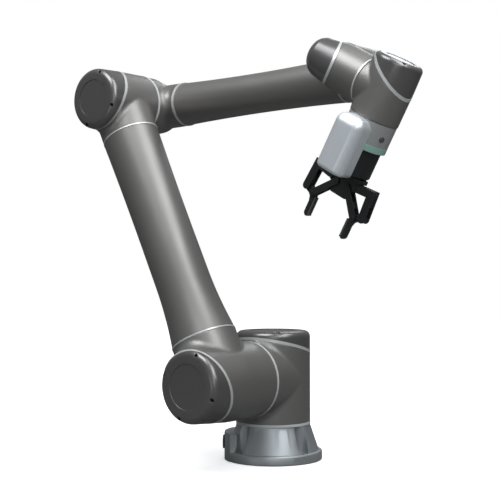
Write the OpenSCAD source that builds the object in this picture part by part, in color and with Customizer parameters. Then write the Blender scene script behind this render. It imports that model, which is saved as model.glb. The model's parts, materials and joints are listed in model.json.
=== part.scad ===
// Six-axis collaborative robot arm with an eye-in-hand camera and a two-finger parallel gripper.
// Millimetres. Origin: centre of the foot's mounting face. +Z up, +X the way the arm reaches,
// -Y the side that carries the upper arm.

/* [Reach] */
// Height of the shoulder pitch axis over the mounting face
shoulder_height = 165.2; // [160:0.1:175]
// Distance from shoulder pitch axis to elbow axis
upper_arm_length = 636.1; // [560:0.1:700]
// Distance from elbow axis to first wrist axis
forearm_length = 557.9; // [500:0.1:620]
// Sideways offset of the second wrist axis from the base axis
wrist_offset = 156.3; // [154:0.1:160]
// Distance from first wrist axis to third wrist axis
wrist_link = 106; // [104:0.5:112]
// Distance from second wrist axis to the tool flange face
flange_reach = 113; // [112:0.5:120]

/* [Pose] */
// Tilt of the upper arm from vertical, forwards positive
upper_arm_tilt = -26.2; // [-40:0.1:0]
// Tilt of the forearm from vertical, forwards positive
forearm_tilt = 88.6; // [80:0.1:95]
// Tilt of the wrist link from vertical, forwards positive
wrist_tilt = 119.5; // [110:0.1:125]

/* [Housings] */
// Outer radius of the base and shoulder joints
big_r = 75.5; // [74:0.5:78]
// Outer radius of the elbow joint
mid_r = 64; // [63:0.5:66]
// Outer radius of the three wrist joints
small_r = 46; // [45.5:0.1:46.5]
// Sideways offset of the upper arm's centre line
upper_arm_offset = 169.6; // [168:0.1:172]
// Sideways offset of the forearm's centre line
forearm_offset = 50.6; // [48:0.1:52]
// Wall of the cast housings
wall = 6; // [4:0.5:8]
// Width of the pale band under each cap
band = 6; // [3:0.5:8]

/* [Foot] */
// Radius of the foot's rim
foot_r = 99.5; // [98:0.5:105]
// Radius of the bolt circle
bolt_circle_r = 82.5; // [81:0.5:84]
// Radius of each bolt hole
bolt_hole_r = 5.5; // [4.5:0.5:6]
// Angle of the first bolt about +Z
bolt_angle = -10; // [-15:1:0]

/* [Gripper] */
// Closing turn of the fingers that the drawing shows, 0 is fully open
finger_turn = 0; // [0:1:41]

/* [Hidden] */
$fn = 96;
gap = 0.5;            // running gap between bodies
seal_w = 5;           // width of the seal ring at each joint
pin_r = 3;            // finger link pins
pin_play = 0.05;      // radial play of a finger link on its pin
far_pin_play = 0.3;   // radial play at the pin that closes each finger's four-bar loop
big = 400;

foot_top = 71;
rim_h = 19;

X = [1, 0, 0];
Y = [0, 1, 0];
Z = [0, 0, 1];

// Each joint's can: radius, radius at the cap, height where it starts to narrow, height of the
// cap's end, edge radius. Heights run along the joint axis from where the branch axis crosses it.
shoulder_can = [big_r, big_r, 60, 94.5, 12];
j2_can = [big_r, 70, 0, 96, 13];
j3_can = [mid_r, 62.5, 20, 74.5, 12];
j4_can = [small_r, 42, 0, 62, 16];
j5_can = [small_r - 1, 38.5, 0, 68, 24];
j6_can = [small_r, 45, 20, 61, 9];

// Each cap's slanted seam: its height over the branch axis, and how much it rises over one radius
shoulder_seam = [61, 19.6];
j2_seam = [66, 28];
j3_seam = [34.4, 26];
j4_seam_plane = [24, 28];
j5_seam_plane = [24.5, 31];
j6_seam_plane = [31, 29];

// Planes where one body ends and the next begins, as offsets to the -Y side
j2_plane = 80;
j3_plane = 109;
j4_plane = 105;
j5_plane = 66;        // along the wrist link from the first wrist axis
j6_plane = 52;        // along the tool axis from the second wrist axis

// Tube ends, measured along each arm
upper_tube = [94, 549.5];
forearm_tube_span = [89, 497];
collar_w = 3;

function along(tilt, d) = [d * sin(tilt), 0, d * cos(tilt)];
shoulder = [0, 0, shoulder_height];
elbow = shoulder + along(upper_arm_tilt, upper_arm_length);
wrist = elbow + along(forearm_tilt, forearm_length);
wrist_2 = wrist + along(wrist_tilt, wrist_link) - wrist_offset * Y;
tool_tilt = wrist_tilt + 90;

// ---------- placing ----------

// Local +Z along the arm, local Y as the world's
module in_upper_arm() translate(shoulder) rotate([0, upper_arm_tilt, 0]) children();
module in_forearm() translate(elbow) rotate([0, forearm_tilt, 0]) children();
module in_wrist_link() translate(wrist - wrist_offset * Y) rotate([0, wrist_tilt, 0]) children();
// Local +Z along the tool, local +X back towards the wrist link
module in_tool() translate(wrist_2) rotate([0, tool_tilt, 0]) children();

// Turns a joint's own frame (+Z to its cap, +X to its branch) into the given directions
module facing(cap, branch) {
    y = cross(cap, branch);
    multmatrix([
        [branch.x, y.x, cap.x, 0],
        [branch.y, y.y, cap.y, 0],
        [branch.z, y.z, cap.z, 0],
        [0, 0, 0, 1]
    ]) children();
}

module at_j1() translate(shoulder) facing(Z, -Y) children();
module at_j2() in_upper_arm() translate(-upper_arm_offset * Y) facing(-Y, Z) children();
module at_j3() in_upper_arm()
    translate(upper_arm_length * Z - upper_arm_offset * Y) facing(-Y, -Z) children();
module at_forearm_elbow() in_forearm() translate(-forearm_offset * Y) facing(Y, Z) children();
module at_j4() in_forearm()
    translate(forearm_length * Z - forearm_offset * Y) facing(Y, -Z) children();
module at_j5() in_wrist_link() facing(-Z, Y) children();
module at_j6() in_tool() facing(-Z, X) children();

// ---------- shapes shared by the joints ----------

module ring(r_out, r_in, h) difference() {
    cylinder(r = r_out, h = h);
    translate([0, 0, -1]) cylinder(r = r_in, h = h + 2);
}

// Everything above the slanted seam plane; +X is the high side
module above_seam(seam, r, lift = 0)
    translate([0, 0, seam[0] + lift]) rotate([0, -atan(seam[1] / r), 0])
        translate([-big, -big, 0]) cube([2 * big, 2 * big, big]);

// A joint's can as a solid of revolution from z0 up, shrunk by inset on the side and the end
module can(spec, z0, inset = 0) {
    r_end = spec[1] - inset;
    z1 = spec[3] - inset;
    edge = max(spec[4] - inset, 2);
    rotate_extrude() polygon(concat(
        [[0, z0], [spec[0] - inset, z0], [spec[0] - inset, spec[2]]],
        [for (a = [0:15:90]) [r_end - edge * (1 - cos(a)), z1 - edge * (1 - sin(a))]],
        [[0, z1]]
    ));
}

// Cast housing: a can cut off at its slanted seam, with a branch pipe, hollow inside.
// branch: its radius at the root and at the end, its length, and the radius of its open end.
module housing(spec, seam, z_out, out_bore, branch) {
    difference() {
        union() {
            can(spec, z_out);
            rotate([0, 90, 0]) cylinder(r1 = branch[0], r2 = branch[1], h = branch[2]);
        }
        above_seam(seam, spec[0], -band / 2);
        can(spec, z_out + wall, wall);
        translate([0, 0, z_out - 1]) cylinder(r = out_bore, h = wall + 2);
        rotate([0, 90, 0]) {
            cylinder(r = min(branch[0], branch[1]) - wall, h = branch[2] - wall);
            cylinder(r = branch[3], h = branch[2] + 1);
        }
    }
}

notch_r = 3.6;
notch_depth = 6;
// Notches sit just inside the rim, and further in on a rounder cap
function notch_at(spec) = spec[1] - notch_r - 1 - 0.35 * max(0, spec[4] - 6);
// Height of the rounded cap over a point that far from its axis
function cap_height(spec, r) = spec[3] - spec[4]
    + sqrt(pow(spec[4], 2) - pow(max(0, r - spec[1] + spec[4]), 2));
module at_notches(spec) for (a = [45:90:315]) rotate([0, 0, a])
    translate([notch_at(spec), 0, cap_height(spec, notch_at(spec)) - notch_depth]) children();

// Cap: the rest of the can above the seam, as a shell, with four screw notches and a shallow dish
module cap(spec, seam, dish = 0.62) difference() {
    intersection() {
        can(spec, -big / 4);
        above_seam(seam, spec[0], band / 2);
    }
    difference() {
        can(spec, -big / 4 - 1, wall);
        at_notches(spec) translate([0, 0, -wall]) cylinder(r = notch_r + 3, h = big);
    }
    at_notches(spec) cylinder(r = notch_r, h = 2 * notch_depth);
    translate([0, 0, spec[3] - 1]) cylinder(r = spec[1] * dish, h = 2);
}

// Pale band between housing and cap, standing slightly proud
module cap_ring(spec, seam) difference() {
    can(spec + [0.4, 0.4, 0, 0.4, 0], -big / 4);
    can(spec, -big / 4 - 1, wall);
    above_seam(seam, spec[0], band / 2);
    mirror([0, 0, 1]) mirror([1, 0, 0]) above_seam([-seam[0], seam[1]], spec[0], band / 2);
}

module cap_screws(spec) at_notches(spec) difference() {
    cylinder(r = notch_r - 0.2, h = 2.5);
    translate([0, 0, 1]) cylinder(r = 1.6, h = 3, $fn = 6);
}

// Reducer, motor and brake stacked round a hollow shaft, standing on the output end's wall
module drive(r, z0) difference() {
    union() {
        translate([0, 0, z0]) cylinder(r = r, h = r * 0.3);
        translate([0, 0, z0 + r * 0.3]) cylinder(r = r * 0.82, h = r * 0.42);
        translate([0, 0, z0 + r * 0.72]) cylinder(r = r * 0.62, h = r * 0.2);
    }
    translate([0, 0, z0 - 1]) cylinder(r = r * 0.2, h = r);
}

// Flange that carries the next body, with a hollow centre for cables
module hub(r, z0, z1) translate([0, 0, z0]) ring(r, r * 0.3, z1 - z0);

// ---------- foot ----------

module foot_profile() polygon([
    [0, 0], [foot_r - 1.5, 0], [foot_r, 1.5], [foot_r, rim_h - 3], [foot_r - 1, rim_h - 1],
    [foot_r - 3, rim_h], [foot_r - 7, rim_h], [big_r + 1, foot_top - 5], [big_r, foot_top - 2],
    [big_r, foot_top], [0, foot_top]
]);

block_h = 55;
port_z = 33;
block_half = 52;
module rear_block() intersection() {
    cylinder(r = foot_r, h = block_h);
    rotate([0, 0, bolt_angle - 135]) translate([40, -block_half, 0]) cube([80, 2 * block_half, block_h]);
}

port_r = 9;
port_depth = 12;
module base_casting() color([0.55, 0.58, 0.6]) difference() {
    union() {
        rotate_extrude() foot_profile();
        rear_block();
    }
    translate([0, 0, -1]) cylinder(r = 56, h = 56);
    cylinder(r = 22, h = foot_top + 1);
    for (a = [0:90:270]) rotate([0, 0, bolt_angle + a]) translate([bolt_circle_r, 0, 0]) {
        translate([0, 0, -1]) cylinder(r = bolt_hole_r, h = rim_h + 4);
        translate([0, 0, rim_h - 1]) cylinder(r = 14, h = foot_top);
    }
    at_port() translate([0, 0, -16]) cylinder(r = 18, h = 30);
}

module at_port() rotate([0, 0, bolt_angle - 135]) translate([foot_r - 4, 0, port_z])
    rotate([0, 90, 0]) children();

module base_connector() color([0.1, 0.1, 0.11]) at_port() difference() {
    union() {
        translate([0, 0, -16]) cylinder(r = 17.9, h = 16);
        cylinder(r = 14, h = 7);
    }
    translate([0, 0, 7 - port_depth]) cylinder(r = port_r, h = port_depth + 1);
}

module j1_output_hub() color("silver") hub(46, foot_top, foot_top + seal_w + wall);

// ---------- shoulder (turns on joint 1) ----------

big_hub_r = 46;
mid_hub_r = 40;
small_hub_r = 33;
hub_play = 4;         // how much wider the hole round each hub is
cable_r = 13;

// Where a geared joint's child starts, and where its drive stands, given the plane it starts at
function start(plane) = plane + gap + seal_w;
function seat(plane) = start(plane) + wall;

module shoulder_housing() color([0.2, 0.2, 0.21]) at_j1()
    housing(shoulder_can, shoulder_seam, start(foot_top) - shoulder_height, big_hub_r + hub_play,
            [big_r, big_r, j2_plane, cable_r]);
module j1_seal() color([0.75, 0.76, 0.76]) translate([0, 0, foot_top + gap]) ring(big_r + 0.5, 60, seal_w);
module shoulder_cap() color([0.13, 0.13, 0.14]) at_j1() cap(shoulder_can, shoulder_seam);
module shoulder_cap_ring() color([0.7, 0.71, 0.71]) at_j1() cap_ring(shoulder_can, shoulder_seam);
module shoulder_cap_screws() color("dimgray") at_j1() cap_screws(shoulder_can);
module j1_drive() color("gray") at_j1() drive(58, seat(foot_top) - shoulder_height);
module j2_output_hub() color("silver") shoulder_side() hub(big_hub_r, j2_plane, seat(j2_plane) - gap);

// ---------- upper arm (turns on joint 2) ----------

// +Z to the -Y side, from the base axis
module shoulder_side() translate(shoulder) rotate([90, 0, 0]) children();
module elbow_side() translate(elbow) rotate([90, 0, 0]) children();
module wrist_side() translate(wrist) rotate([90, 0, 0]) children();

module j2_housing() color([0.2, 0.2, 0.21]) at_j2()
    housing(j2_can, j2_seam, start(j2_plane) - upper_arm_offset, big_hub_r + hub_play,
            [67, 65, upper_tube[0] - collar_w, 54]);
module j2_seal() color([0.75, 0.76, 0.76]) shoulder_side()
    translate([0, 0, j2_plane + gap]) ring(big_r + 0.4, 60, seal_w);
module j2_cap() color([0.13, 0.13, 0.14]) at_j2() cap(j2_can, j2_seam);
module j2_cap_ring() color([0.7, 0.71, 0.71]) at_j2() cap_ring(j2_can, j2_seam);
module j2_drive() color("gray") at_j2() drive(58, seat(j2_plane) - upper_arm_offset);

function upper_tube_r(a) = 55
    + (a < 220 ? 10 * pow((220 - a) / 127, 2) : 0)
    + (a > 300 ? 3.5 * pow((a - 300) / 250, 2) : 0);
function forearm_tube_r(a) = 40.5
    + (a < 310 ? 3 * pow((310 - a) / 180, 2) : 4 * pow((a - 310) / 190, 2));

function steps(span, n) = [for (i = [0:n]) span[0] + (span[1] - span[0]) * i / n];

tube_steps = 20;
module upper_arm_tube() color([0.2, 0.2, 0.21]) in_upper_arm() translate(-upper_arm_offset * Y)
    rotate_extrude() polygon(concat(
        [for (a = steps(upper_tube, tube_steps)) [upper_tube_r(a), a]],
        [for (i = [tube_steps:-1:0]) let (a = steps(upper_tube, tube_steps)[i]) [upper_tube_r(a) - wall, a]]
    ));
module upper_arm_collars() color([0.6, 0.6, 0.6]) in_upper_arm() translate(-upper_arm_offset * Y) {
    translate([0, 0, upper_tube[0] - collar_w]) ring(65.5, 58, collar_w);
    translate([0, 0, upper_tube[1]]) ring(58.9, 52, collar_w);
}
module elbow_housing() color([0.2, 0.2, 0.21]) at_j3() let (foot = start(j3_plane) - upper_arm_offset)
    difference() {
        housing(j3_can, j3_seam, foot, mid_hub_r + hub_play,
                [58.5, 58.4, upper_arm_length - upper_tube[1] - collar_w, 46]);
        // The branch is wider than its joint leaves room for, so it has a flat on that side
        translate([-big / 2, -big / 2, foot - big]) cube(big);
    }
module j3_cap() color([0.13, 0.13, 0.14]) at_j3() cap(j3_can, j3_seam);
module j3_cap_ring() color([0.7, 0.71, 0.71]) at_j3() cap_ring(j3_can, j3_seam);
module j3_drive() color("gray") at_j3() drive(50, seat(j3_plane) - upper_arm_offset);
module upper_arm_cap_screws() color("dimgray") {
    at_j2() cap_screws(j2_can);
    at_j3() cap_screws(j3_can);
}

// ---------- forearm (turns on joint 3) ----------

elbow_cup = [mid_r - 1, 53, -30, 38, 24];
neck_length = forearm_tube_span[0] - collar_w - 2;
neck_r = 36;
neck_flat = 11;               // the neck is a pipe flattened on the sides along joint 3's axis
collar_r = 46.6;
module forearm_elbow() color([0.2, 0.2, 0.21]) at_forearm_elbow() difference() {
    union() {
        can(elbow_cup, forearm_offset - j3_plane);
        rotate([0, 90, 0]) linear_extrude(neck_length) {
            square([2 * neck_r, 2 * neck_flat], center = true);
            for (s = [-1, 1]) translate([0, s * neck_flat]) circle(r = neck_r);
        }
        translate([neck_length - 12, 0, 0]) rotate([0, 90, 0]) cylinder(r1 = neck_r, r2 = collar_r - 0.6, h = 12);
    }
    can(elbow_cup, forearm_offset - j3_plane + wall, wall);
    translate([0, 0, forearm_offset - j3_plane - 1]) cylinder(r = cable_r, h = wall + 2);
    rotate([0, 90, 0]) cylinder(r = neck_r - wall, h = neck_length + 1);
}
module j3_seal() color([0.75, 0.76, 0.76]) elbow_side()
    translate([0, 0, j3_plane + gap]) ring(mid_r + 0.4, 50, seal_w);
module j3_output_hub() color("silver") elbow_side() hub(mid_hub_r, j3_plane, seat(j3_plane) - gap);
module forearm_tube() color([0.2, 0.2, 0.21]) in_forearm() translate(-forearm_offset * Y)
    rotate_extrude() polygon(concat(
        [for (a = steps(forearm_tube_span, tube_steps)) [forearm_tube_r(a), a]],
        [for (i = [tube_steps:-1:0]) let (a = steps(forearm_tube_span, tube_steps)[i])
            [forearm_tube_r(a) - wall, a]]
    ));
module forearm_collars() color([0.75, 0.77, 0.77]) in_forearm() translate(-forearm_offset * Y) {
    translate([0, 0, neck_length]) ring(collar_r, 38, forearm_tube_span[0] - neck_length);
    translate([0, 0, forearm_tube_span[1]]) ring(45, 38, collar_w);
}
module forearm_wrist_housing() color([0.2, 0.2, 0.21]) at_j4()
    housing(j4_can, j4_seam_plane, forearm_offset - j4_plane, small_hub_r + hub_play,
            [44.5, 44.4, forearm_length - forearm_tube_span[1] - collar_w, 34]);
module j4_cap() color([0.13, 0.13, 0.14]) at_j4() cap(j4_can, j4_seam_plane);
module j4_cap_ring() color([0.7, 0.71, 0.71]) at_j4() cap_ring(j4_can, j4_seam_plane);
module forearm_cap_screws() color("dimgray") at_j4() cap_screws(j4_can);
module j4_drive() color("gray") at_j4() drive(36, forearm_offset - j4_plane + wall);

// ---------- first wrist link (turns on joint 4) ----------

end_band_bore = 42;           // of the pale band let into this link's end, next to joint 5
module wrist1_housing() color([0.2, 0.2, 0.21]) at_j5() difference() {
    housing(j5_can, j5_seam_plane, -j5_plane, small_hub_r + hub_play,
            [small_r, small_r, wrist_offset - j4_plane - gap, cable_r]);
    translate([0, 0, -j5_plane - 1]) ring(big / 4, end_band_bore, collar_w + 1);
}
module j4_output_hub() color("silver") wrist_side() hub(small_hub_r, j4_plane - wall + gap, j4_plane + gap);
module j5_cap() color([0.13, 0.13, 0.14]) at_j5() cap(j5_can, j5_seam_plane);
module j5_cap_ring() color([0.7, 0.71, 0.71]) at_j5() {
    cap_ring(j5_can, j5_seam_plane);
    translate([0, 0, -j5_plane]) ring(j5_can[0] + 0.4, end_band_bore, collar_w);
}
module wrist1_cap_screws() color("dimgray") at_j5() cap_screws(j5_can);
module j5_drive() color("gray") at_j5() drive(36, wall - j5_plane);

// ---------- second wrist link (turns on joint 5) ----------

// Keeps the can of joint 6 clear of the end of the first wrist link
module clear_of_wrist1() difference() {
    children();
    in_wrist_link() cylinder(r = small_r + 1.2, h = j5_plane + gap);
}
module wrist2_housing() color([0.2, 0.2, 0.21]) clear_of_wrist1() at_j6()
    housing(j6_can, j6_seam_plane, -j6_plane, small_hub_r + hub_play,
            [small_r - 0.5, small_r - 0.5, wrist_link - j5_plane - gap, cable_r]);
module j5_output_hub() color("silver") in_wrist_link() hub(small_hub_r, j5_plane - wall + gap, j5_plane + gap);
module j6_cap() color([0.13, 0.13, 0.14]) clear_of_wrist1() at_j6() cap(j6_can, j6_seam_plane);
module j6_cap_ring() color([0.7, 0.71, 0.71]) clear_of_wrist1() at_j6() cap_ring(j6_can, j6_seam_plane);
module wrist2_cap_screws() color("dimgray") at_j6() cap_screws(j6_can);
module j6_drive() color("gray") at_j6() drive(36, wall - j6_plane);

// ---------- tool end (turns on joint 6) ----------

end_r = 45;
end_top = j6_plane + gap;
light = [93, 105];
button_z = 77;
button_angle = 19;
button_r = 5;
button_travel = 1.5;

// +Z outwards through the side of the end module
module at_button() in_tool() rotate([0, 0, 180 + button_angle]) translate([end_r, 0, button_z])
    rotate([0, 90, 0]) children();

module end_module() color([0.62, 0.62, 0.62]) difference() {
    in_tool() translate([0, 0, end_top]) difference() {
        union() {
            cylinder(r = end_r, h = light[0] - end_top);
            translate([0, 0, gap - wall]) cylinder(r = small_hub_r, h = wall);
        }
        translate([0, 0, 4]) cylinder(r = end_r - 4, h = light[0]);
        translate([0, 0, -wall]) cylinder(r = cable_r, h = light[0]);
    }
    at_button() translate([0, 0, -8]) cylinder(r = button_r + 0.2, h = 12);
}
module light_ring() color([0.35, 0.6, 0.5]) in_tool() translate([0, 0, light[0]])
    ring(end_r + 0.2, end_r - 6, light[1] - light[0]);
module tool_flange() color("silver") in_tool() difference() {
    union() {
        translate([0, 0, light[0]]) cylinder(r = end_r - 6, h = light[1] - light[0]);
        translate([0, 0, light[1]]) cylinder(r = flange_r, h = flange_reach - light[1]);
    }
    translate([0, 0, light[0] - 1]) cylinder(r = 15.75, h = flange_reach);
}
module free_button() color([0.2, 0.2, 0.2]) at_button() {
    translate([0, 0, -4]) cylinder(r = button_r, h = 4 + button_travel + 0.3);
}

camera_half = 30;             // half width of the camera housing
camera_span = [30, 76];       // its nearest and farthest distance from the tool axis
camera_z = [54, 162];         // its two ends along the tool
lens_at = 60;                 // distance of the lens from the tool axis
lens_r = 9;

function corner(x, y, r, a0) = [for (a = [0:15:90]) [x + r * cos(a0 + a), y + r * sin(a0 + a)]];
// Rectangle with its own radius at each corner, counted from the far top one
module rounded(x, y, r) polygon(concat(
    corner(x[1] - r[0], y[1] - r[0], r[0], 0), corner(x[0] + r[1], y[1] - r[1], r[1], 90),
    corner(x[0] + r[2], y[0] + r[2], r[2], 180), corner(x[1] - r[3], y[0] + r[3], r[3], 270)
));

module camera_housing() color([0.78, 0.8, 0.82]) in_tool() difference() {
    intersection() {
        translate([0, 0, camera_z[0] - 1]) linear_extrude(200)
            mirror([0, 1, 0]) rounded([-camera_half, camera_half], camera_span, [17, 17, 1, 1]);
        rotate([90, 0, 0]) linear_extrude(200)
            rounded([-camera_half, camera_half], camera_z, [9, 9, 9, 9]);
        rotate([90, 0, -90]) translate([0, 0, -100]) linear_extrude(200)
            rounded(camera_span, camera_z, [6, 1, 1, 24]);
    }
    cylinder(r = end_r + 0.3, h = 300);
    translate([0, -lens_at, camera_z[1] - 7]) cylinder(r = lens_r + 0.1, h = 20);
}
module camera_lens() color([0.05, 0.05, 0.06]) in_tool() translate([0, -lens_at, camera_z[1] - 7])
    difference() {
        cylinder(r = lens_r, h = 7);
        translate([0, 0, 5]) cylinder(r = lens_r - 3, h = 3);
    }

// ---------- gripper ----------

flange_r = 31.5;
grip_r = 38.5;
grip_z = flange_reach + 9;    // zero of the gripper's own heights along the tool axis
outer_pivot = [30.6, 54.9];
inner_pivot = [12.7, 61.4];
outer_corner = [64.5, 51];
link = [37.6, 43];            // from either palm pivot to its fingertip pivot, fully open
palm_half = 5;                // half thickness of the palm's tongue and the fingertips
plate = 3.2;                  // thickness of each link plate

module gripper_body() color([0.08, 0.08, 0.085]) in_tool() difference() {
    union() {
        translate([0, 0, light[1]]) cylinder(r = grip_r, h = grip_z + 34 - light[1]);
        translate([0, 0, grip_z + 34]) cylinder(r1 = grip_r, r2 = grip_r - 4, h = 4);
    }
    translate([0, 0, light[1] - 1]) cylinder(r = flange_r + 0.1, h = flange_reach - light[1] + 1);
    translate([0, 0, flange_reach - 1]) cylinder(r = 14, h = 28);
}
module gripper_palm() color([0.08, 0.08, 0.085]) in_tool() {
    translate([-grip_r + 0.5, -12, grip_z + 38]) cube([2 * grip_r - 1, 24, 7.5]);
    translate([0, palm_half, grip_z]) rotate([90, 0, 0]) linear_extrude(2 * palm_half)
        for (side = [0, 1]) mirror([side, 0]) polygon([
            [-1, 45], [36, 45], [37.5, 48], [37.5, 57], [34, 61], [26, 66], [23, 72], [22, 79],
            [20, 82.5], [16, 84], [-1, 84]
        ]);
    for (s = [-1, 1], p = [outer_pivot, inner_pivot])
        translate([s * p.x, 0, grip_z + p.y]) rotate([90, 0, 0])
            cylinder(r = pin_r, h = 2 * (palm_half + plate + gap), center = true);
}

function half_turn(c, r, a0) = [for (a = [0:15:180]) c + r * [cos(a0 + a), sin(a0 + a)]];
function heading(v) = atan2(v.y, v.x);
function side_of(v) = [-v.y, v.x] / norm(v);
// Corner at b of a line that runs r to the left of a-b-c
function miter(a, b, c, r) = let (m = side_of(b - a), n = side_of(c - b)) b + (m + n) * r / (1 + m * n);

// Flat bar with round ends between two points, and one with a bend in it
module bar(p, q, r) polygon(concat(
    half_turn(p, r, heading(q - p) + 90), half_turn(q, r, heading(q - p) - 90)
));
module bent_bar(p, bend, q, r) polygon(concat(
    half_turn(p, r, heading(bend - p) + 90), [miter(p, bend, q, -r)],
    half_turn(q, r, heading(q - bend) - 90), [miter(p, bend, q, r)]
));

// Draws a finger part in the plane of the fingers: local X outwards, local Y along the tool
module finger_plane(side) in_tool() translate([0, 0, grip_z]) scale_side(side) rotate([90, 0, 0]) children();
module scale_side(side) mirror([side < 0 ? 1 : 0, 0, 0]) children();
module slab(y0, y1) translate([0, 0, y0]) linear_extrude(y1 - y0) children();

// Pair of plates outside the palm, both sides
module plates() for (s = [0, 1]) mirror([0, 0, s])
    slab(palm_half + gap / 2, palm_half + gap / 2 + plate) children();

module outer_link(side) color([0.09, 0.09, 0.095]) finger_plane(side) turned_3d(outer_pivot) {
    plates() difference() {
        bent_bar(outer_pivot, outer_corner, outer_pivot + link, 7.5);
        translate(outer_pivot) circle(r = pin_r + pin_play);
        translate(outer_pivot + link) circle(r = pin_r + pin_play);
    }
    slab(-palm_half - 1, palm_half + 1) translate(outer_corner)
        polygon([[-7, -6], [1, -6.5], [6, -1], [7, 22], [1, 22]]);
}
module turned_3d(pivot) translate([pivot.x, pivot.y, 0]) rotate([0, 0, finger_turn])
    translate([-pivot.x, -pivot.y, 0]) children();

module inner_link(side) color([0.09, 0.09, 0.095]) finger_plane(side) turned_3d(inner_pivot) {
    plates() difference() {
        bar(inner_pivot, inner_pivot + link, 6);
        translate(inner_pivot) circle(r = pin_r + pin_play);
        translate(inner_pivot + link) circle(r = pin_r + far_pin_play);
    }
    slab(-palm_half - 1, palm_half + 1) bar(inner_pivot + 0.55 * link, inner_pivot + 0.68 * link, 4.5);
}

tip_face = 38.5;              // half the opening between the pads
tip_back = 51;                // the fingertips' outer side
tip_end = 149;
pad_t = 4;
pad_start = 110;
pad_end = 147;

module pad(side) color([0.3, 0.31, 0.31]) in_fingertip(side) slab(0.5 - palm_half, palm_half - 0.5)
    translate([tip_face, pad_start]) square([pad_t, pad_end - pad_start]);

// The links stay parallel, so a fingertip only shifts as they turn
tip_shift = [cos(finger_turn) * link.x - sin(finger_turn) * link.y,
             sin(finger_turn) * link.x + cos(finger_turn) * link.y] - link;
module in_fingertip(side) finger_plane(side) translate([tip_shift.x, tip_shift.y, 0]) children();

module fingertip(side) color([0.09, 0.09, 0.095]) {
    in_fingertip(side) {
        slab(-palm_half, palm_half) {
            bar(outer_pivot + link, inner_pivot + link, 6.5);
            polygon([
                [tip_face + pad_t, 103], [56, 100], [60, 105], [tip_back + 2.5, 113], [tip_back, 121],
                [tip_back, tip_end - 6], [tip_back - 1.5, tip_end - 2.5], [tip_back - 4.5, tip_end],
                [tip_face + pad_t, tip_end]
            ]);
        }
        for (p = [outer_pivot + link, inner_pivot + link]) translate([p.x, p.y, 0])
            cylinder(r = pin_r, h = 2 * (palm_half + plate + gap), center = true);
    }
}

// ---------- output ----------

base_casting();
base_connector();
j1_output_hub();
shoulder_housing();
j1_seal();
shoulder_cap();
shoulder_cap_ring();
shoulder_cap_screws();
j1_drive();
j2_output_hub();
j2_housing();
j2_seal();
j2_cap();
j2_cap_ring();
upper_arm_tube();
upper_arm_collars();
elbow_housing();
j3_cap();
j3_cap_ring();
upper_arm_cap_screws();
j2_drive();
j3_drive();
forearm_elbow();
j3_seal();
forearm_tube();
forearm_collars();
forearm_wrist_housing();
j4_cap();
j4_cap_ring();
forearm_cap_screws();
j3_output_hub();
j4_drive();
wrist1_housing();
j5_cap();
j5_cap_ring();
wrist1_cap_screws();
j4_output_hub();
j5_drive();
wrist2_housing();
j6_cap();
j6_cap_ring();
wrist2_cap_screws();
j5_output_hub();
j6_drive();
end_module();
light_ring();
tool_flange();
camera_housing();
camera_lens();
gripper_body();
gripper_palm();
free_button();
outer_link(1);  // left_outer_link
inner_link(1);  // left_inner_link
fingertip(1);  // left_fingertip
pad(1);  // left_pad
outer_link(-1);  // right_outer_link
inner_link(-1);  // right_inner_link
fingertip(-1);  // right_fingertip
pad(-1);  // right_pad
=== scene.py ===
"""Looks of a six-axis collaborative robot arm with a wrist camera and a two-finger gripper.

Everything is in metres in the frame of the CAD model: origin at the centre of the foot, +Z up, +X the
way the arm reaches, -Y the side that carries the upper arm. Part sizes below are in millimetres and go
through MM. The castings, tubes, camera shell and gripping pads are rebuilt here with their fillets and
ribs. The other CAD parts keep their shape, and the larger ones get broken edges.
"""
import json
import math
from collections import namedtuple

import bmesh
import bpy
import numpy as np
from mathutils import Matrix, Vector

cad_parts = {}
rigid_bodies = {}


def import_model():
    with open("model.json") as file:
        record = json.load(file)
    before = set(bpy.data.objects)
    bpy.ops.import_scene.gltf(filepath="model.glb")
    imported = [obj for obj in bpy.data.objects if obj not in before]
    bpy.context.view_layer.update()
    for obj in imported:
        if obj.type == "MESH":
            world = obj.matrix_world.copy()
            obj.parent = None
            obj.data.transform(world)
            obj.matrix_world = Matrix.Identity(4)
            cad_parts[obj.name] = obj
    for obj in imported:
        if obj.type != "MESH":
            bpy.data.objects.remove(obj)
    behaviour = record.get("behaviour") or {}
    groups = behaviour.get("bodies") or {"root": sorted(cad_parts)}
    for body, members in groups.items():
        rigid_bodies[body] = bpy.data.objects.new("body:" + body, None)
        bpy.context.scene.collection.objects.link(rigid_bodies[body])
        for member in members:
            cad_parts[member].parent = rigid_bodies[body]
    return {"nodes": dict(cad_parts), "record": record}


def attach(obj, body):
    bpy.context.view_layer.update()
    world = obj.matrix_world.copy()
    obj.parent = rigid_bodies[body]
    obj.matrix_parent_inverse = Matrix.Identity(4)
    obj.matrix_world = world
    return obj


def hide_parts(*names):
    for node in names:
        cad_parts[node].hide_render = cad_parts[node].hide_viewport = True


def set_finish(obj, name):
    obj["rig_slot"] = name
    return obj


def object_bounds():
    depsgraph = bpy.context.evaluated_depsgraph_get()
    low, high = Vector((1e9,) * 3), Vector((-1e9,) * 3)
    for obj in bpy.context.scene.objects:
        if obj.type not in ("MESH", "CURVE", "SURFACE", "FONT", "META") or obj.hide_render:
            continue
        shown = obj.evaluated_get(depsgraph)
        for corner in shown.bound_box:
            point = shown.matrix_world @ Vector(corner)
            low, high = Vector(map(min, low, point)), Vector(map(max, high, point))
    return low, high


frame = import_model()
cad_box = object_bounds()

MM = 0.001
Y, Z = Vector((0, 1, 0)), Vector((0, 0, 1))

# ---------- places and names, from the CAD model ----------

BODY_OF = {n: b for b, names in frame["record"]["behaviour"]["bodies"].items() for n in names}
SLOT_OF = {s["node"]: s["material_slot"] for s in frame["record"]["subparts"]}

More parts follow.
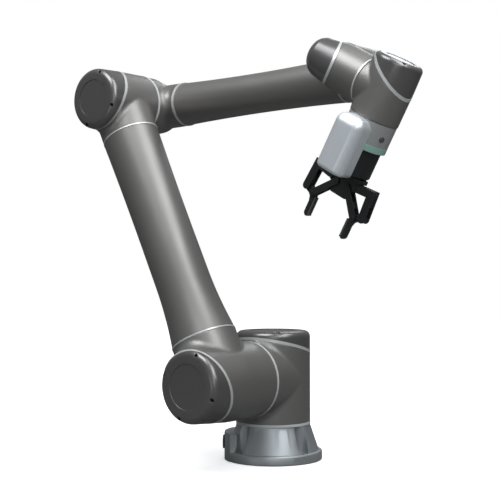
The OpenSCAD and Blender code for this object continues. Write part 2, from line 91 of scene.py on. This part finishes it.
joints = {j["name"]: j for j in frame["record"]["behaviour"]["joints"]}
shoulder = Vector(joints["joint_2"]["pos_m"])
elbow = Vector(joints["joint_3"]["pos_m"])
wrist = Vector(joints["joint_4"]["pos_m"])
wrist_2 = Vector(joints["joint_5"]["pos_m"])
link_axis = Vector(joints["joint_5"]["axis"]).normalized()
tool_axis = Vector(joints["joint_6"]["axis"]).normalized()
upper_axis = (elbow - shoulder).normalized()
fore_axis = (wrist - elbow).normalized()

# ---------- sizes, in millimetres ----------

SHOULDER_HEIGHT = 165.2
UPPER_LENGTH = 636.1          # from joint 2 to joint 3
FORE_LENGTH = 557.9           # from joint 3 to joint 4
UPPER_OFFSET = 169.6          # upper arm's centre line, to the -Y side
FORE_OFFSET = 50.6            # forearm's centre line
WRIST_OFFSET = 156.3          # wrist link's centre line

# Planes where one link meets the next
J1_PLANE = 76.5               # above the foot's mounting face
J2_PLANE = 80                 # this and the next two: from joint 1's axis, to the -Y side
J3_PLANE = 109
J4_PLANE = 105
J5_PLANE = 66                 # from the centre of wrist link 1
J6_PLANE = 52                 # from the centre of wrist link 2

UPPER_SPAN = (94, 549.5)      # upper arm's tube, along the link
FORE_SPAN = (89, 497)         # forearm's tube
COLLAR = 3                    # pale ring at the end of a tube
ELBOW_COLLAR = 5              # the wider one at the forearm's elbow end
WALL = 6
BAND = 6                      # pale band between a casting and its cap
SEAL = 5.5                    # seal ring and its gap between two castings
GAP = 0.5                     # gap where two castings meet without a seal
WRIST_2_ARM = 39.5            # from the tool's axis to the end of wrist link 2's branch
BROKEN_EDGE = 1.2             # rounded rims of the castings' openings
RELIEF_EDGE = 2.5             # rounded edge where a casting clears its neighbour

# A joint's can: radius, radius at its end, height where it starts to narrow, end, edge's radius
Can = namedtuple("Can", "r r_end narrows end edge")
# Pale band across a can: height on the axis, and how far it climbs from there to the wall
Seam = namedtuple("Seam", "height climb")
# Pipe that branches off a can: radius at the axis, radius at its end, length from the axis
Branch = namedtuple("Branch", "root tip length")


def aside(point, offset):
    """The point moved to the -Y side."""
    return point - offset * MM * Y


def facing(origin, cap, branch):
    """A joint's own frame: local +Z to its cap, +X to its branch."""
    y = cap.cross(branch)
    m = Matrix((branch, y, cap)).transposed().to_4x4()
    m.translation = origin
    return m


# ---------- mesh tools ----------

SHARP = math.radians(32)      # edges that turn more than this stay sharp
MERGE = 0.15                  # millimetres below which two points of a casting become one


def new_object(name, bm_or_mesh, body, slot, replaces=()):
    """Puts the mesh in the scene with smooth faces and sharp edges, riding on its body."""
    mesh = bm_or_mesh
    if isinstance(mesh, bmesh.types.BMesh):
        mesh = bpy.data.meshes.new(name)
        bm_or_mesh.to_mesh(mesh)
        bm_or_mesh.free()
    mesh.shade_smooth()
    mesh.set_sharp_from_angle(angle=SHARP)
    obj = bpy.data.objects.new(name, mesh)
    bpy.context.scene.collection.objects.link(obj)
    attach(obj, body)
    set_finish(obj, slot)
    if replaces:
        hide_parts(*replaces)
    return obj


def lathe(profile, segments=128):
    """Revolves [(radius, height), ...] in millimetres about Z. The profile is a closed loop."""
    bm = bmesh.new()
    rings = []
    for r, z in profile:
        rings.append([bm.verts.new((r * MM * math.cos(a), r * MM * math.sin(a), z * MM))
                      for a in np.linspace(0, 2 * math.pi, segments, endpoint=False)])
    for ring, after in zip(rings, rings[1:] + rings[:1]):
        for i in range(segments):
            j = (i + 1) % segments
            bm.faces.new((ring[i], ring[j], after[j], after[i]))
    bmesh.ops.recalc_face_normals(bm, faces=bm.faces)
    return bm


def isosurface(field, low, high, step):
    """Mesh of field(p) = 0 by surface nets, its points then moved onto the surface in four steps."""
    axes = [np.arange(a, b + step, step) for a, b in zip(low, high)]
    grid = np.stack(np.meshgrid(*axes, indexing="ij"), -1)
    values = field(grid.reshape(-1, 3)).reshape(grid.shape[:3])
    inside = values < 0
    cell_shape = [n - 1 for n in inside.shape]
    total = np.zeros(cell_shape + [3])
    count = np.zeros(cell_shape)
    for axis in range(3):
        a = [slice(None)] * 3
        b = [slice(None)] * 3
        a[axis], b[axis] = slice(None, -1), slice(1, None)
        va, vb = values[tuple(a)], values[tuple(b)]
        crosses = (va < 0) != (vb < 0)
        t = np.where(crosses, va / np.where(va == vb, 1, va - vb), 0)
        where = grid[tuple(a)] + t[..., None] * (np.arange(3) == axis) * step
        others = [k for k in range(3) if k != axis]
        for i in (0, 1):
            for j in (0, 1):
                s = [slice(None)] * 3
                s[others[0]] = slice(i, i + cell_shape[others[0]])
                s[others[1]] = slice(j, j + cell_shape[others[1]])
                mask = crosses[tuple(s)]
                total += np.where(mask[..., None], where[tuple(s)], 0)
                count += mask
    used = count > 0
    number = np.full(cell_shape, -1)
    number[used] = np.arange(used.sum())
    points = total[used] / count[used][:, None]
    faces = []
    for axis in range(3):
        u, v = (axis + 1) % 3, (axis + 2) % 3
        a = [slice(1, -1)] * 3
        b = [slice(1, -1)] * 3
        a[axis], b[axis] = slice(None, -1), slice(1, None)
        starts = inside[tuple(a)] != inside[tuple(b)]
        index = np.argwhere(starts)
        index[:, u] += 1
        index[:, v] += 1
        corner = []
        for du, dv in ((0, 0), (1, 0), (1, 1), (0, 1)):
            k = index.copy()
            k[:, u] -= du
            k[:, v] -= dv
            corner.append(number[k[:, 0], k[:, 1], k[:, 2]])
        quads = np.stack(corner, 1)
        outward = inside[index[:, 0], index[:, 1], index[:, 2]]
        faces += np.where(outward[:, None], quads, quads[:, ::-1]).tolist()
    for _ in range(4):
        value = field(points)
        slope = gradient(field, points)
        points = points - slope * (value / np.maximum((slope ** 2).sum(1), 0.05))[:, None]
    return points, faces


def gradient(field, points, e=0.05):
    """Slope of the distance field at each point, by central differences."""
    return np.stack([(field(points + e * d) - field(points - e * d)) / (2 * e) for d in np.eye(3)], 1)


def cut(bm, point, normal, edge=BROKEN_EDGE):
    """Cuts away what lies beyond the plane, closes the hole and rounds its rim. Millimetres."""
    point, normal = Vector(point), Vector(normal).normalized()
    steps = [0, 0.3 * edge, edge]
    for depth in steps[::-1]:
        geometry = bm.verts[:] + bm.edges[:] + bm.faces[:]
        bmesh.ops.bisect_plane(bm, geom=geometry, dist=1e-4, plane_co=point - depth * normal,
                               plane_no=normal, clear_outer=depth == 0)
    bm.normal_update()
    moves = []
    for v in bm.verts:
        depth = (point - v.co).dot(normal)
        if depth < edge - 1e-3:
            out = v.normal - v.normal.dot(normal) * normal
            if out.length > 1e-6:
                back = edge - math.sqrt(max(edge ** 2 - (edge - depth) ** 2, 0))
                moves.append((v, out.normalized() * back))
    for v, move in moves:
        v.co -= move
    bmesh.ops.holes_fill(bm, edges=[e for e in bm.edges if e.is_boundary])


def round_union(a, b, radius):
    """Union of two distance fields with a fillet of that radius, which may vary from point to point."""
    u = np.maximum(radius - a, 0)
    v = np.maximum(radius - b, 0)
    return np.where((u > 0) & (v > 0), radius - np.hypot(u, v), np.minimum(a, b))


def round_cross(a, b, radius):
    """Intersection of two distance fields with a rounded edge."""
    corner = np.hypot(np.maximum(a + radius, 0), np.maximum(b + radius, 0))
    return np.minimum(np.maximum(a, b), -radius) + corner


def can_field(p, can):
    """Distance to a joint's can, which has no bottom."""
    rho = np.hypot(p[:, 0], p[:, 1])
    t = np.clip((p[:, 2] - can.narrows) / max(can.end - can.edge - can.narrows, 1), 0, 1.4)
    return round_cross(rho - (can.r + (can.r_end - can.r) * t), p[:, 2] - can.end, can.edge)


def tee(name, body, place, can, seam, foot, branch, fillet, replaces, relief=None, flat=0, step=3.0):
    """Casting of a joint: a can cut at its slanted seam, with a filleted branch pipe.

    foot is the height where the can is cut off below. relief is the radius that a neighbouring casting
    needs beyond the branch's end. flat is half the width of a flat along the branch, which then flares
    out to a round tip."""

    def field(p):
        a = can_field(p, can)
        part = np.clip(p[:, 0] / branch.length, 0, 1.1) ** (4 if flat else 1)
        off = np.hypot(np.maximum(np.abs(p[:, 1]) - flat * (1 - part), 0), p[:, 2])
        b = np.maximum(off - (branch.root + (branch.tip - branch.root) * part), -p[:, 0])
        rho = np.maximum(np.hypot(p[:, 0], p[:, 1]), 1)
        aligned = np.clip(p[:, 1] ** 2 / (rho * np.maximum(off, 1)), 0, 1)
        body = round_union(a, b, fillet * (1 - aligned) ** 1.5 + 0.01)
        if relief:
            body = round_cross(body, np.minimum(relief - off, p[:, 0] - branch.length), RELIEF_EDGE)
        return body

    reach = can.r + 2 * step
    low = (-reach, -reach, foot - 2 * step)
    high = (branch.length + 2 * step, reach, can.end + 2 * step)
    points, faces = isosurface(field, low, high, step)
    mesh = bpy.data.meshes.new(name)
    mesh.from_pydata(points.tolist(), [], faces)
    bm = bmesh.new()
    bm.from_mesh(mesh)
    bpy.data.meshes.remove(mesh)
    cut(bm, (0, 0, foot), (0, 0, -1))
    if not relief:
        cut(bm, (branch.length, 0, 0), (1, 0, 0))
    if seam:
        cut(bm, (0, 0, seam.height - BAND / 2), (-seam.climb / can.r, 0, 1))
    bmesh.ops.remove_doubles(bm, verts=bm.verts, dist=MERGE)
    bmesh.ops.recalc_face_normals(bm, faces=bm.faces)
    bmesh.ops.scale(bm, vec=(MM, MM, MM), verts=bm.verts)
    bm.transform(place)
    return new_object(name, bm, body, "housing_paint", replaces=replaces)


def softened(node, width):
    """The CAD part with its edges broken by that width."""
    source = frame["nodes"][node]
    mesh = source.data.copy()
    bm = bmesh.new()
    bm.from_mesh(mesh)
    bmesh.ops.remove_doubles(bm, verts=bm.verts, dist=1e-5)
    bmesh.ops.dissolve_limit(bm, angle_limit=math.radians(0.6), verts=bm.verts, edges=bm.edges)
    bm.to_mesh(mesh)
    bm.free()
    obj = new_object(node + "_finished", mesh, BODY_OF[node], SLOT_OF[node], replaces=(node,))
    bevel = obj.modifiers.new("broken edges", "BEVEL")
    bevel.width = width * MM
    bevel.segments = 2
    bevel.limit_method = "ANGLE"
    bevel.angle_limit = math.radians(35)
    bevel.harden_normals = False
    return obj


# ---------- castings ----------

tee("shoulder_casting", "shoulder", facing(shoulder, Z, -Y),
    can=Can(r=75.5, r_end=75.5, narrows=60, end=94.5, edge=12), seam=Seam(61, climb=19.6),
    foot=J1_PLANE - SHOULDER_HEIGHT, branch=Branch(75.5, 75.5, J2_PLANE), fillet=16,
    replaces=("shoulder_housing",))
tee("j2_casting", "upper_arm", facing(aside(shoulder, UPPER_OFFSET), -Y, upper_axis),
    can=Can(r=75.5, r_end=70, narrows=0, end=96, edge=13), seam=Seam(66, climb=28),
    foot=J2_PLANE + SEAL - UPPER_OFFSET, branch=Branch(67, 65, UPPER_SPAN[0] - COLLAR), fillet=22,
    replaces=("j2_housing",))
tee("elbow_casting", "upper_arm", facing(aside(elbow, UPPER_OFFSET), -Y, -upper_axis),
    can=Can(r=64, r_end=62.5, narrows=20, end=74.5, edge=12), seam=Seam(34.4, climb=26),
    foot=J3_PLANE + SEAL - UPPER_OFFSET,
    branch=Branch(58.5, 58.4, UPPER_LENGTH - UPPER_SPAN[1] - COLLAR), fillet=20,
    replaces=("elbow_housing",))
tee("forearm_elbow_casting", "forearm", facing(aside(elbow, FORE_OFFSET), Y, fore_axis),
    can=Can(r=63, r_end=53, narrows=-30, end=38, edge=24), seam=None, foot=FORE_OFFSET - J3_PLANE,
    branch=Branch(36, 46, FORE_SPAN[0] - ELBOW_COLLAR), fillet=24, flat=11,
    replaces=("forearm_elbow",))
tee("forearm_wrist_casting", "forearm", facing(aside(wrist, FORE_OFFSET), Y, -fore_axis),
    can=Can(r=46, r_end=42, narrows=0, end=62, edge=16), seam=Seam(24, climb=28),
    foot=FORE_OFFSET - J4_PLANE, branch=Branch(44.5, 44.4, FORE_LENGTH - FORE_SPAN[1] - COLLAR),
    fillet=14, replaces=("forearm_wrist_housing",))
tee("wrist1_casting", "wrist_1", facing(aside(wrist, WRIST_OFFSET), -link_axis, Y),
    can=Can(r=45, r_end=38.5, narrows=0, end=68, edge=24), seam=Seam(24.5, climb=31), foot=-J5_PLANE,
    branch=Branch(46, 46, WRIST_OFFSET - J4_PLANE - GAP), fillet=12, replaces=("wrist1_housing",))
tee("wrist2_casting", "wrist_2", facing(wrist_2, -tool_axis, -link_axis),
    can=Can(r=46, r_end=45, narrows=20, end=61, edge=9), seam=Seam(31, climb=29), foot=-J6_PLANE,
    branch=Branch(45.5, 45.5, WRIST_2_ARM), fillet=12, relief=47.2, step=2.7,
    replaces=("wrist2_housing",))

# ---------- tubes ----------


def swell(a, start, end, rise):
    """Growth of a tube's radius at a, which sets in at start and reaches rise at end."""
    t = (a - start) / (end - start)
    return rise * t ** 2 if t > 0 else 0


def upper_radius(a):
    """Upper arm's radius, a millimetres up from joint 2."""
    return 55 + swell(a, 220, 93, 10) + swell(a, 300, 550, 3.5)


def fore_radius(a):
    """Forearm's radius, a millimetres out from joint 3."""
    return 40.5 + swell(a, 310, 130, 3) + swell(a, 310, 500, 4)


def tube(name, body, origin, axis, radius, span, replaces):
    """Hollow tube along a link, of the given radius at each distance from its joint."""
    start, end = span
    lip = 1                   # bevel at both ends
    outside = [(radius(start) - lip, start)]
    outside += [(radius(a), a) for a in np.linspace(start + lip, end - lip, 60)]
    outside += [(radius(end) - lip, end)]
    inside = [(radius(a) - WALL, a) for a in np.linspace(end, start, 30)]
    bm = lathe(outside + inside)
    bm.transform(Matrix.Translation(origin) @ axis.to_track_quat("Z", "Y").to_matrix().to_4x4())
    return new_object(name, bm, body, "housing_paint", replaces=replaces)


tube("upper_arm_shell", "upper_arm", aside(shoulder, UPPER_OFFSET), upper_axis, upper_radius,
     UPPER_SPAN, ("upper_arm_tube",))
tube("forearm_shell", "forearm", aside(elbow, FORE_OFFSET), fore_axis, fore_radius, FORE_SPAN,
     ("forearm_tube",))

# ---------- camera shell ----------

HALF = 30                     # half of the shell's width
NEAR, FAR = 28, 76            # its two sides, from the tool's axis
TOP, END = 54, 162            # its two ends, along the tool
SIDE_ROUND, TOP_ROUND, END_ROUND, HOLLOW_ROUND = 17, 20, 7, 2
END_R = 45                    # end module that the shell is hollowed to sit on
HOLLOW_GAP = 0.3
LENS_AT, LENS_R, LENS_DEEP = 60, 9.1, 7


def camera_field(p):
    """x across the wrist, -y to the far side of the tool, z along it."""
    x, y, z = p[:, 0], -p[:, 1], p[:, 2]
    body = round_cross(np.abs(x) - HALF, y - FAR, SIDE_ROUND)
    body = round_cross(body, TOP - z, TOP_ROUND)
    body = round_cross(body, z - END, END_ROUND)
    body = round_cross(body, END_R + HOLLOW_GAP - np.hypot(x, y), HOLLOW_ROUND)
    lens = np.maximum(np.hypot(x, y - LENS_AT) - LENS_R, END - LENS_DEEP - z)
    return np.maximum(body, -lens)


def camera_shell():
    """Silver box of the wrist camera, with the recess of its lens."""
    margin, step = 4, 2.0
    low = (-HALF - margin, -FAR - margin, TOP - margin)
    high = (HALF + margin, -NEAR + margin, END + margin)
    points, faces = isosurface(camera_field, low, high, step)
    mesh = bpy.data.meshes.new("camera")
    mesh.from_pydata((points * MM).tolist(), [], faces)
    mesh.transform(in_tool)
    return new_object("camera_shell", mesh, "tool", "camera_shell", replaces=("camera_housing",))


in_tool = facing(wrist_2, tool_axis, -link_axis)
camera_shell()

# ---------- gripping pads ----------

GRIP_Z = 122                  # zero of the gripper's heights along the tool
PAD_FACE, PAD_BACK = 38.5, 42.5       # from the tool's axis
PAD_START, PAD_END = 110, 147
PAD_HALF = 4.5                # half of the pad's width
RIBS = 14
RIB_DEEP = 0.9
# One groove and the rib after it: part of the pitch, and depth below the pad's face
RIB = ((0.1, RIB_DEEP), (0.3, 0.1), (0.5, 0), (0.7, 0.1))


def ribbed_pad(side):
    """Rubber pad with a rib every few millimetres, extruded from its outline."""
    pitch = (PAD_END - PAD_START) / RIBS
    outline = [(PAD_BACK, PAD_START)]
    for i in range(RIBS):
        outline += [(PAD_FACE + deep, PAD_START + (i + part) * pitch) for part, deep in RIB]
    outline += [(PAD_FACE + RIB_DEEP, PAD_END), (PAD_BACK, PAD_END)]
    bm = bmesh.new()
    rows = [[bm.verts.new((side * x * MM, y * MM, (GRIP_Z + z) * MM)) for x, z in outline]
            for y in (-PAD_HALF, PAD_HALF)]
    for i in range(len(outline)):
        j = (i + 1) % len(outline)
        bm.faces.new((rows[0][i], rows[0][j], rows[1][j], rows[1][i]))
    for row in rows:
        bm.faces.new(row)
    bmesh.ops.recalc_face_normals(bm, faces=bm.faces)
    bm.transform(in_tool)
    name = "left" if side > 0 else "right"
    return new_object(name + "_pad_ribs", bm, name + "_finger", "pad_rubber",
                      replaces=(name + "_pad",))


for side in (-1, 1):
    ribbed_pad(side)

# ---------- parts that keep their CAD shape, with broken edges ----------

# How far each part's edges are broken, in millimetres
FINISHED = {
    "base_casting": 1.5, "base_connector": 0.6,
    "shoulder_cap": 0.8, "j2_cap": 0.8, "j3_cap": 0.8, "j4_cap": 0.8, "j5_cap": 0.8, "j6_cap": 0.8,
    "end_module": 0.8, "tool_flange": 0.6, "light_ring": 0.8, "free_button": 0.5,
    "gripper_body": 1.2, "gripper_palm": 0.8,
    "left_outer_link": 0.8, "left_inner_link": 0.8, "left_fingertip": 0.8,
    "right_outer_link": 0.8, "right_inner_link": 0.8, "right_fingertip": 0.8,
}
for node, width in FINISHED.items():
    softened(node, width)

# ---------- materials ----------

GLOSS_PATCH = 60              # millimetres over which the gloss of a surface changes


def material(name, light, dark, metallic, roughness, grain, bump, coat=0.0, variation=0.05):
    """Paint, metal or plastic: two close colours in a fine grain, uneven gloss and a fine bump.

    grain is the grain's size in millimetres, bump its depth."""
    m = bpy.data.materials.new(name)
    m.use_nodes = True
    nodes, links = m.node_tree.nodes, m.node_tree.links
    shader = nodes["Principled BSDF"]
    shader.inputs["Metallic"].default_value = metallic
    shader.inputs["Coat Weight"].default_value = coat
    shader.inputs["Coat Roughness"].default_value = 0.25
    place = nodes.new("ShaderNodeTexCoord")

    def noise(size, detail):
        n = nodes.new("ShaderNodeTexNoise")
        n.inputs["Scale"].default_value = 1 / (size * MM)
        n.inputs["Detail"].default_value = detail
        links.new(place.outputs["Object"], n.inputs["Vector"])
        return n

    fine, broad = noise(grain, detail=3), noise(GLOSS_PATCH, detail=2)
    tone = nodes.new("ShaderNodeValToRGB")
    tone.color_ramp.elements[0].position = 0.35
    tone.color_ramp.elements[1].position = 0.65
    tone.color_ramp.elements[0].color = (*dark, 1)
    tone.color_ramp.elements[1].color = (*light, 1)
    links.new(fine.outputs["Fac"], tone.inputs["Fac"])
    links.new(tone.outputs["Color"], shader.inputs["Base Color"])
    gloss = nodes.new("ShaderNodeMapRange")
    gloss.inputs["To Min"].default_value = roughness - variation
    gloss.inputs["To Max"].default_value = roughness + variation
    links.new(broad.outputs["Fac"], gloss.inputs["Value"])
    links.new(gloss.outputs["Result"], shader.inputs["Roughness"])
    relief = nodes.new("ShaderNodeBump")
    relief.inputs["Strength"].default_value = 0.35
    relief.inputs["Distance"].default_value = bump * MM
    links.new(fine.outputs["Fac"], relief.inputs["Height"])
    links.new(relief.outputs["Normal"], shader.inputs["Normal"])
    return m


MATERIALS = {
    "housing_paint": material("anthracite paint", (0.215, 0.204, 0.196), (0.187, 0.176, 0.168),
                              metallic=0.65, roughness=0.42, grain=0.4, bump=0.012),
    "cap_dark": material("cap paint", (0.150, 0.142, 0.139), (0.126, 0.118, 0.116),
                         metallic=0.65, roughness=0.3, grain=0.5, bump=0.012, coat=0.3),
    "ring_light": material("ring aluminium", (0.62, 0.62, 0.61), (0.55, 0.55, 0.54),
                           metallic=0.5, roughness=0.4, grain=0.4, bump=0.01),
    "seal_light": material("seal rubber", (0.5, 0.5, 0.49), (0.44, 0.44, 0.43),
                           metallic=0.0, roughness=0.55, grain=0.6, bump=0.02),
    "foot_metal": material("foot paint", (0.38, 0.395, 0.41), (0.33, 0.345, 0.355),
                           metallic=0.75, roughness=0.42, grain=0.4, bump=0.012),
    "connector_black": material("connector plastic", (0.03, 0.03, 0.03), (0.02, 0.02, 0.02),
                                metallic=0.0, roughness=0.5, grain=0.6, bump=0.03),
    "steel_flange": material("turned steel", (0.62, 0.62, 0.62), (0.5, 0.5, 0.5),
                             metallic=1.0, roughness=0.3, grain=0.5, bump=0.01),
    "drive_steel": material("drive steel", (0.42, 0.42, 0.43), (0.34, 0.34, 0.35),
                            metallic=1.0, roughness=0.4, grain=0.8, bump=0.02),
    "screw_steel": material("black screws", (0.03, 0.03, 0.03), (0.02, 0.02, 0.02),
                            metallic=0.6, roughness=0.4, grain=0.4, bump=0.01),
    "end_grey": material("end module paint", (0.40, 0.40, 0.395), (0.36, 0.36, 0.355),
                         metallic=0.55, roughness=0.42, grain=0.4, bump=0.012),
    "light_ring": material("light ring", (0.24, 0.40, 0.33), (0.21, 0.36, 0.295),
                           metallic=0.0, roughness=0.35, grain=1.2, bump=0.008),
    "camera_shell": material("silver shell", (0.78, 0.815, 0.84), (0.71, 0.74, 0.765),
                             metallic=0.72, roughness=0.42, grain=0.4, bump=0.012),
    "lens_glass": material("lens glass", (0.02, 0.02, 0.03), (0.01, 0.01, 0.02),
                           metallic=0.0, roughness=0.06, grain=2.0, bump=0.001, coat=1.0,
                           variation=0.02),
    "button_dark": material("button rubber", (0.07, 0.07, 0.07), (0.05, 0.05, 0.05),
                            metallic=0.0, roughness=0.5, grain=0.6, bump=0.03),
    "gripper_black": material("black anodising", (0.014, 0.0135, 0.014), (0.009, 0.009, 0.0095),
                              metallic=0.2, roughness=0.45, grain=0.4, bump=0.015),
    "pad_rubber": material("pad rubber", (0.06, 0.06, 0.06), (0.04, 0.04, 0.04),
                           metallic=0.0, roughness=0.7, grain=1.0, bump=0.05),
}


def dress(obj, slot):
    """Gives a piece the material of its slot."""
    obj.data.materials.clear()
    obj.data.materials.append(MATERIALS[slot])


for obj in list(bpy.context.scene.objects):
    if "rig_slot" in obj:
        dress(obj, obj["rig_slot"])
for node, obj in frame["nodes"].items():
    for slot in obj.material_slots:
        slot.material = MATERIALS[SLOT_OF[node]]

# ---------- floor, light and camera ----------

FLOOR_R = 6.0
FLOOR_DROP = 0.0005           # the floor lies this far below the foot
FLOOR_GLOW = 0.5              # glow near the foot; it grows to 1 over the two distances below
FLOOR_FADE = (0.2, 1.2)
FLOOR_DARK = 0.16             # how pale the floor is in the light that it throws back at the arm
WORLD_LOW, WORLD_HIGH = 0.12, 0.35    # the studio's own light at eye level and overhead

# Camera: the point, turn and lens that the arm is seen with
CAMERA_AT = Vector((1.382, -1.815, 0.385))
AZIMUTH, PITCH = math.radians(38.03), math.radians(3.06)
LENS = 79.67
SHIFT = (-0.0175, -0.0804)

RIGHT = Vector((math.cos(AZIMUTH), math.sin(AZIMUTH), 0))
TOWARD = Vector((math.sin(AZIMUTH), -math.cos(AZIMUTH), 0))

CENTRE = Vector((0.05, -0.1, 0.45))   # the lights aim here
LIGHTS_AT = 2.5               # metres from there
LIGHT_COLOUR = (0.95, 1.0, 1.03)
# Name, bearing from the camera's side to the right, elevation, width in metres, radiance
LIGHTS = (
    ("key", 32, 34, 1.3, 5.5),
    ("left top", -45, 60, 1.4, 8),
    ("right top", 60, 60, 1.4, 5),
    ("front", 0, 10, 1.2, 1.6),
    ("low left", -45, -15, 1.2, 1.5),
    ("back", 165, 36, 0.8, 3.2),
)


def floor_material():
    """Pale matt floor, whiter with distance so that it meets the white beyond it without a line."""
    m = material("pale floor", (0.86, 0.86, 0.86), (0.83, 0.83, 0.83),
                 metallic=0.0, roughness=0.6, grain=4.0, bump=0.02)
    nodes, links = m.node_tree.nodes, m.node_tree.links
    place = nodes.new("ShaderNodeTexCoord")
    distance = nodes.new("ShaderNodeVectorMath")
    distance.operation = "LENGTH"
    links.new(place.outputs["Object"], distance.inputs[0])
    glow = nodes.new("ShaderNodeMapRange")
    glow.inputs["From Min"].default_value = FLOOR_FADE[0]
    glow.inputs["From Max"].default_value = FLOOR_FADE[1]
    glow.inputs["To Min"].default_value = FLOOR_GLOW
    links.new(distance.outputs["Value"], glow.inputs["Value"])
    white = nodes.new("ShaderNodeEmission")
    links.new(glow.outputs["Result"], white.inputs["Strength"])
    add = nodes.new("ShaderNodeAddShader")
    links.new(nodes["Principled BSDF"].outputs["BSDF"], add.inputs[0])
    links.new(white.outputs["Emission"], add.inputs[1])
    dark = nodes.new("ShaderNodeBsdfDiffuse")
    dark.inputs["Color"].default_value = (*[FLOOR_DARK] * 3, 1)
    rays = nodes.new("ShaderNodeLightPath")
    mix = nodes.new("ShaderNodeMixShader")
    links.new(rays.outputs["Is Camera Ray"], mix.inputs["Fac"])
    links.new(dark.outputs["BSDF"], mix.inputs[1])
    links.new(add.outputs["Shader"], mix.inputs[2])
    links.new(mix.outputs["Shader"], nodes["Material Output"].inputs["Surface"])
    return m


def floor():
    """Round floor, whose rim is lost in the white beyond it."""
    bm = bmesh.new()
    bmesh.ops.create_circle(bm, cap_ends=True, segments=96, radius=FLOOR_R)
    mesh = bpy.data.meshes.new("floor")
    bm.to_mesh(mesh)
    bm.free()
    obj = bpy.data.objects.new("floor", mesh)
    bpy.context.scene.collection.objects.link(obj)
    obj.location.z = cad_box[0][2] - FLOOR_DROP
    obj.data.materials.append(floor_material())


def softbox(name, bearing, elevation, size, radiance):
    """Square light aimed at the arm."""
    a, e = math.radians(bearing), math.radians(elevation)
    way = (math.sin(a) * RIGHT + math.cos(a) * TOWARD) * math.cos(e) + math.sin(e) * Z
    data = bpy.data.lights.new(name, "AREA")
    data.shape = "SQUARE"
    data.size = size
    data.energy = radiance * math.pi * size ** 2
    data.color = LIGHT_COLOUR
    obj = bpy.data.objects.new(name, data)
    bpy.context.scene.collection.objects.link(obj)
    obj.location = CENTRE + LIGHTS_AT * way
    obj.rotation_euler = (-way).to_track_quat("-Z", "Y").to_euler()


def surroundings():
    """A studio that is dark at eye level and lighter overhead; white where only the camera looks."""
    world = bpy.data.worlds.new("studio")
    bpy.context.scene.world = world
    world.use_nodes = True
    nodes, links = world.node_tree.nodes, world.node_tree.links
    place = nodes.new("ShaderNodeTexCoord")
    split = nodes.new("ShaderNodeSeparateXYZ")
    links.new(place.outputs["Generated"], split.inputs["Vector"])
    height = nodes.new("ShaderNodeMapRange")
    height.inputs["From Min"].default_value = -0.1
    height.inputs["To Min"].default_value = WORLD_LOW
    height.inputs["To Max"].default_value = WORLD_HIGH
    links.new(split.outputs["Z"], height.inputs["Value"])
    dim = nodes["Background"]
    dim.inputs["Color"].default_value = (0.98, 1.0, 1.02, 1)
    links.new(height.outputs["Result"], dim.inputs["Strength"])
    white = nodes.new("ShaderNodeBackground")
    white.inputs["Color"].default_value = (1, 1, 1, 1)
    rays = nodes.new("ShaderNodeLightPath")
    mix = nodes.new("ShaderNodeMixShader")
    links.new(rays.outputs["Is Camera Ray"], mix.inputs["Fac"])
    links.new(dim.outputs["Background"], mix.inputs[1])
    links.new(white.outputs["Background"], mix.inputs[2])
    links.new(mix.outputs["Shader"], nodes["World Output"].inputs["Surface"])


def camera():
    """Camera at half the arm's height, between the upper arm's side and the front, tilted slightly up."""
    data = bpy.data.cameras.new("camera")
    data.lens = LENS
    data.sensor_width = 36
    data.shift_x, data.shift_y = SHIFT
    data.clip_end = 50
    obj = bpy.data.objects.new("camera", data)
    bpy.context.scene.collection.objects.link(obj)
    obj.location = CAMERA_AT
    obj.rotation_euler = (math.pi / 2 + PITCH, 0, AZIMUTH)
    bpy.context.scene.camera = obj


floor()
surroundings()
for light in LIGHTS:
    softbox(*light)
camera()
bpy.context.scene.view_settings.view_transform = "Standard"
